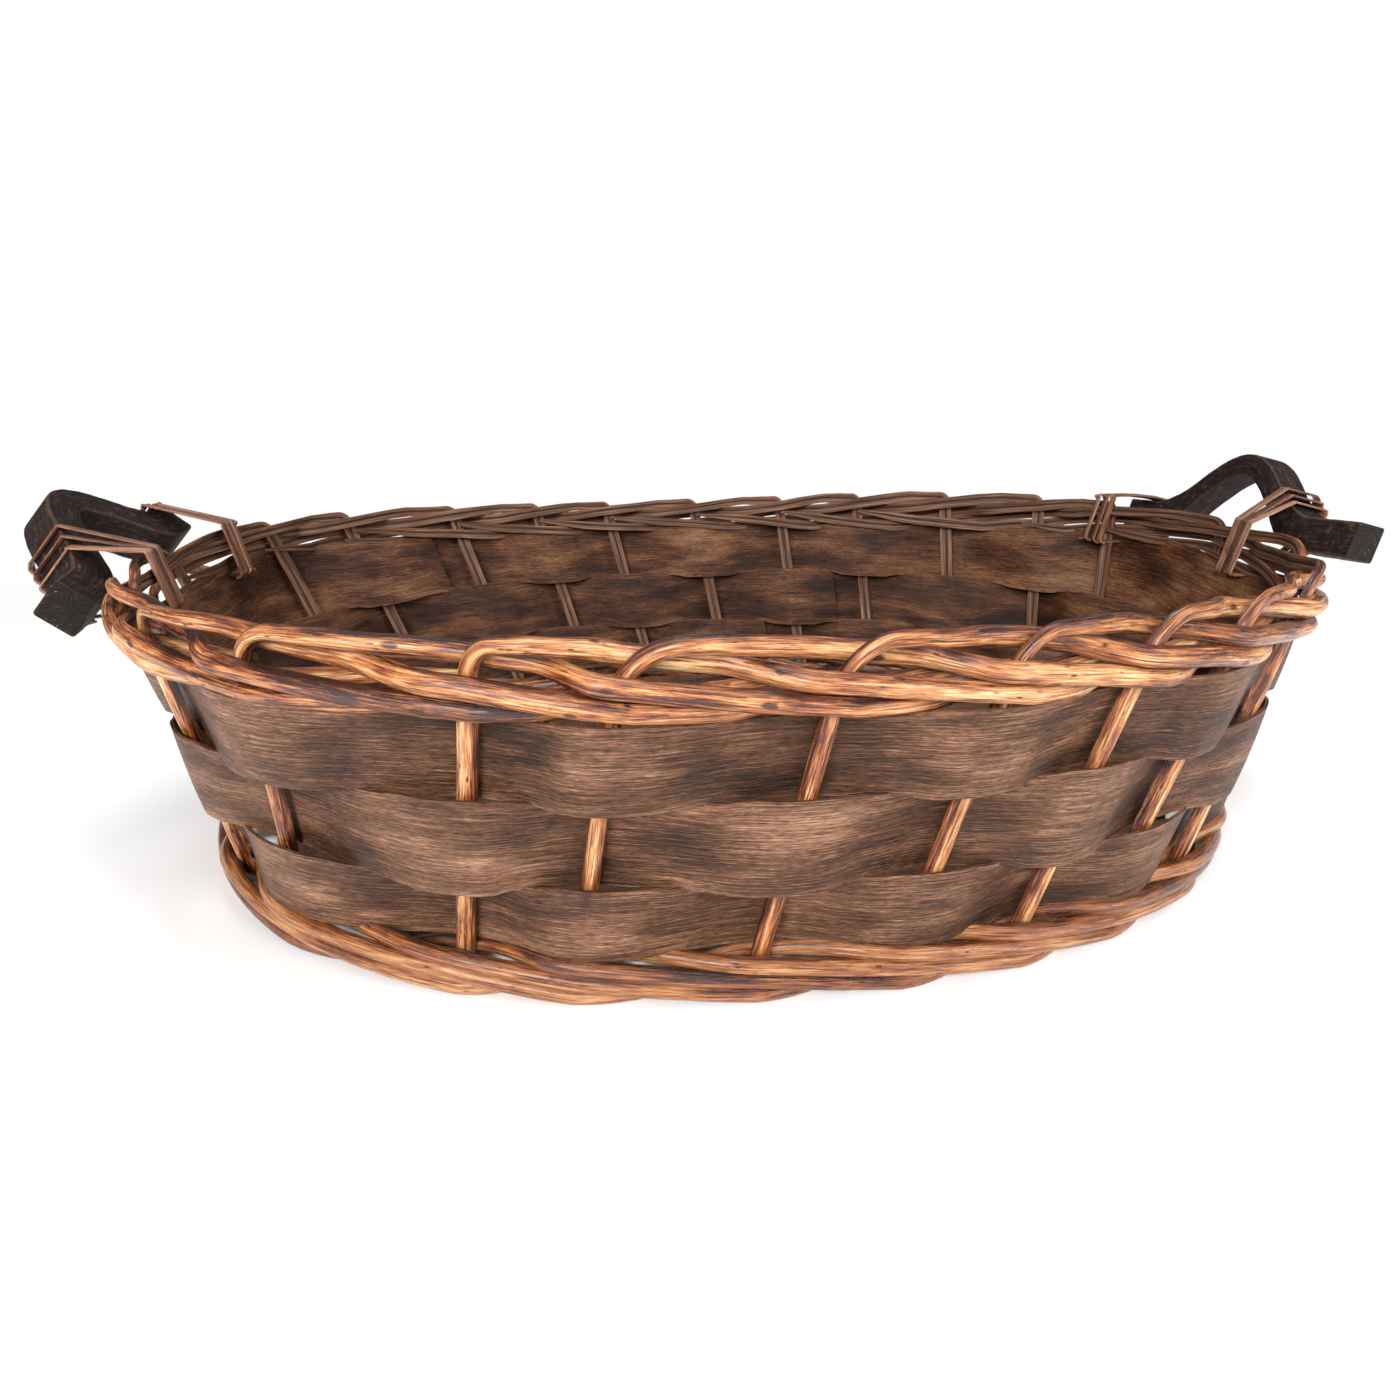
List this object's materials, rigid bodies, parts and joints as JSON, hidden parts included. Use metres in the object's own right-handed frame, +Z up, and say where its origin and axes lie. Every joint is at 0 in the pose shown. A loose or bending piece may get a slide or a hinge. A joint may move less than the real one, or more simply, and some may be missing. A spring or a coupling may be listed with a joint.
{
  "type": "oval basket",
  "caption": "Low oval basket of split willow stakes and woven wood-chip bands, with a rolled rim and a lashed wooden ear handle at each end.",
  "frame": {"origin": "on the floor, under the middle of the box that holds the whole basket", "axes": "+X along the length through both handles, +Y from the front to the back, +Z up"},
  "size_m": [0.479, 0.2732, 0.1319],
  "materials": {
    "bark": "split willow with its bark on, satin",
    "foot": "thin willow rods with their bark on, satin",
    "chip": "stained wood chip, matt with a fine grain",
    "base": "stained wood chip, matt",
    "handle": "dark stained sawn wood, rough",
    "lashing": "split willow, satin"
  },
  "bodies": {
    "root": {"stake_01": "bark", "stake_02": "bark", "stake_03": "bark", "stake_04": "bark", "stake_05": "bark", "stake_06": "bark", "stake_07": "bark", "stake_08": "bark", "stake_09": "bark", "stake_10": "bark", "stake_11": "bark", "stake_12": "bark", "stake_13": "bark", "stake_14": "bark", "stake_15": "bark", "stake_16": "bark", "stake_17": "bark", "stake_18": "bark", "stake_19": "bark", "stake_20": "bark", "stake_21": "bark", "stake_22": "bark", "stake_23": "bark", "stake_24": "bark", "chip_band_1": "chip", "chip_band_2": "chip", "chip_band_3": "chip", "foot_rod_1": "foot", "foot_rod_2": "foot", "foot_rod_3": "foot", "foot_rod_4": "foot", "base_chip_long_1": "base", "base_chip_long_2": "base", "base_chip_long_3": "base", "base_chip_long_4": "base", "base_chip_long_5": "base", "base_chip_cross_1": "base", "base_chip_cross_2": "base", "base_chip_cross_3": "base", "base_chip_cross_4": "base", "base_chip_cross_5": "base", "base_chip_cross_6": "base", "base_chip_cross_7": "base", "base_chip_cross_8": "base", "handle_left": "handle", "lashing_left_front": "lashing", "lashing_left_back": "lashing", "handle_right": "handle", "lashing_right_front": "lashing", "lashing_right_back": "lashing"}
  },
  "joints": []
}
